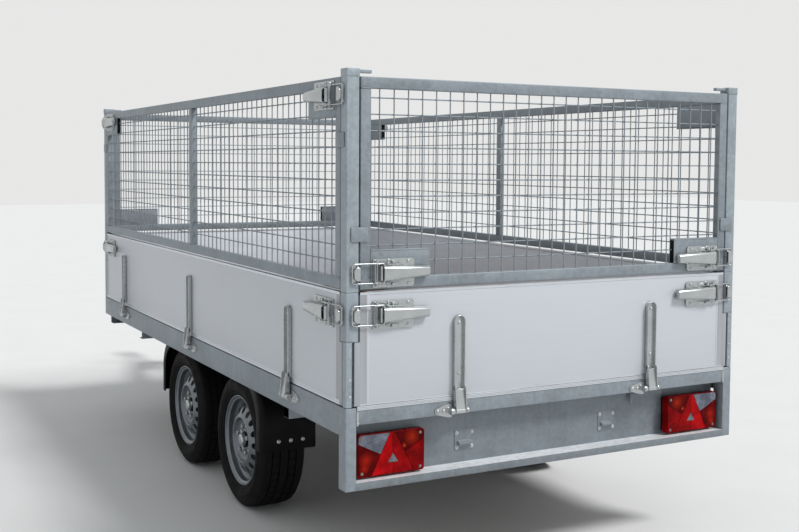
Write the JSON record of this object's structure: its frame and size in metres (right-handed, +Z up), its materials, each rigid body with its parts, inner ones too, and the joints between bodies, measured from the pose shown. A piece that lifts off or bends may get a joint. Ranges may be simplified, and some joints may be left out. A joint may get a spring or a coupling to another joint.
{
  "type": "tandem-axle utility trailer",
  "caption": "Tandem-axle flatbed trailer with drop boards, mesh cage sides, over-centre latches, braked drawbar and jockey wheel.",
  "frame": {"origin": "on the ground under the middle of the overall length and width", "axes": "+X forward to the coupling, +Y to the trailer's left, +Z up"},
  "size_m": [4.482, 1.684, 1.643],
  "materials": {
    "galvanised_steel": "hot-dip galvanised, dull spangle",
    "zinc_plate": "bright zinc plating",
    "board_aluminium": "pale anodised, satin",
    "plywood": "film-faced plywood",
    "tyre": "black rubber",
    "wheel_paint": "silver paint",
    "hub_metal": "grey casting",
    "black_plastic": "grained black plastic",
    "black_rubber": "matt rubber",
    "lamp_red": "moulded lens"
  },
  "bodies": {
    "chassis": {"axle_tubes": "galvanised_steel", "bellows": "black_rubber", "board_hinge_brackets": "zinc_plate", "brake_rod": "zinc_plate", "chassis_beam_left": "galvanised_steel", "chassis_beam_right": "galvanised_steel", "coupling_head": "zinc_plate", "cross_members": "galvanised_steel", "drawbar_head": "galvanised_steel", "floor": "plywood", "front_beam": "galvanised_steel", "handbrake_lever": "zinc_plate", "jockey_clamp": "zinc_plate", "light_panel": "galvanised_steel", "lower_posts": "galvanised_steel", "mudguard_left": "black_plastic", "mudguard_right": "black_plastic", "overrun_unit": "zinc_plate", "post_caps": "galvanised_steel", "rear_legs": "galvanised_steel", "rear_rail": "galvanised_steel", "side_rails": "galvanised_steel", "suspension_arms": "galvanised_steel", "tail_lamps": "lamp_red", "upper_posts": "galvanised_steel"},
    "left_board": {"left_board": "board_aluminium", "left_board_fittings": "zinc_plate"},
    "left_mesh": {"left_mesh": "galvanised_steel", "left_mesh_latches": "zinc_plate"},
    "right_board": {"right_board": "board_aluminium", "right_board_fittings": "zinc_plate"},
    "right_mesh": {"right_mesh": "galvanised_steel", "right_mesh_latches": "zinc_plate"},
    "rear_board": {"rear_board": "board_aluminium", "rear_board_fittings": "zinc_plate"},
    "rear_mesh": {"rear_mesh": "galvanised_steel", "rear_mesh_latches": "zinc_plate"},
    "front_board": {"front_board": "board_aluminium", "front_board_fittings": "zinc_plate"},
    "front_mesh": {"front_mesh": "galvanised_steel", "front_mesh_latches": "zinc_plate"},
    "wheel_rear_left": {"tyre_rear_left": "tyre", "rim_rear_left": "wheel_paint", "hub_rear_left": "hub_metal"},
    "wheel_rear_right": {"tyre_rear_right": "tyre", "rim_rear_right": "wheel_paint", "hub_rear_right": "hub_metal"},
    "wheel_front_left": {"tyre_front_left": "tyre", "rim_front_left": "wheel_paint", "hub_front_left": "hub_metal"},
    "wheel_front_right": {"tyre_front_right": "tyre", "rim_front_right": "wheel_paint", "hub_front_right": "hub_metal"},
    "jockey_leg": {"jockey_leg": "zinc_plate"},
    "jockey_fork": {"jockey_fork": "zinc_plate"},
    "jockey_wheel": {"jockey_wheel": "black_rubber"}
  },
  "joints": [
    {"name": "left_board_drop", "type": "hinge", "parent": "chassis", "child": "left_board", "pos_m": [-0.649, 0.808, 0.575], "axis": [-1, 0, 0], "range_deg": [0, 180]},
    {"name": "left_mesh_drop", "type": "hinge", "parent": "chassis", "child": "left_mesh", "pos_m": [-0.649, 0.7775, 0.9935], "axis": [-1, 0, 0], "range_deg": [0, 100]},
    {"name": "right_board_drop", "type": "hinge", "parent": "chassis", "child": "right_board", "pos_m": [-0.649, -0.808, 0.575], "axis": [1, 0, 0], "range_deg": [0, 180]},
    {"name": "right_mesh_drop", "type": "hinge", "parent": "chassis", "child": "right_mesh", "pos_m": [-0.649, -0.7775, 0.9935], "axis": [1, 0, 0], "range_deg": [0, 100]},
    {"name": "rear_board_drop", "type": "hinge", "parent": "chassis", "child": "rear_board", "pos_m": [-2.207, 0, 0.575], "axis": [0, -1, 0], "range_deg": [0, 180]},
    {"name": "rear_mesh_swing", "type": "hinge", "parent": "chassis", "child": "rear_mesh", "pos_m": [-2.1765, 0, 1.6025], "axis": [0, 1, 0], "range_deg": [0, 90]},
    {"name": "front_board_drop", "type": "hinge", "parent": "chassis", "child": "front_board", "pos_m": [0.909, 0, 0.575], "axis": [0, 1, 0], "range_deg": [0, 105]},
    {"name": "front_mesh_swing", "type": "hinge", "parent": "chassis", "child": "front_mesh", "pos_m": [0.8785, 0, 1.6025], "axis": [0, -1, 0], "range_deg": [0, 90]},
    {"name": "wheel_rear_left_spin", "type": "hinge", "parent": "chassis", "child": "wheel_rear_left", "pos_m": [-1.089, 0.647, 0.2625], "axis": [0, 1, 0], "continuous": true},
    {"name": "wheel_rear_right_spin", "type": "hinge", "parent": "chassis", "child": "wheel_rear_right", "pos_m": [-1.089, -0.647, 0.2625], "axis": [0, 1, 0], "continuous": true},
    {"name": "wheel_front_left_spin", "type": "hinge", "parent": "chassis", "child": "wheel_front_left", "pos_m": [-0.389, 0.647, 0.2625], "axis": [0, 1, 0], "continuous": true},
    {"name": "wheel_front_right_spin", "type": "hinge", "parent": "chassis", "child": "wheel_front_right", "pos_m": [-0.389, -0.647, 0.2625], "axis": [0, 1, 0], "continuous": true},
    {"name": "jockey_height", "type": "slide", "parent": "chassis", "child": "jockey_leg", "axis": [0, 0, 1], "range_m": [0, 0.14]},
    {"name": "jockey_swivel", "type": "hinge", "parent": "jockey_leg", "child": "jockey_fork", "pos_m": [1.511, -0.25856, 0.236], "axis": [0, 0, 1], "continuous": true},
    {"name": "jockey_wheel_spin", "type": "hinge", "parent": "jockey_fork", "child": "jockey_wheel", "pos_m": [1.476, -0.25856, 0.1], "axis": [0, 1, 0], "continuous": true}
  ]
}
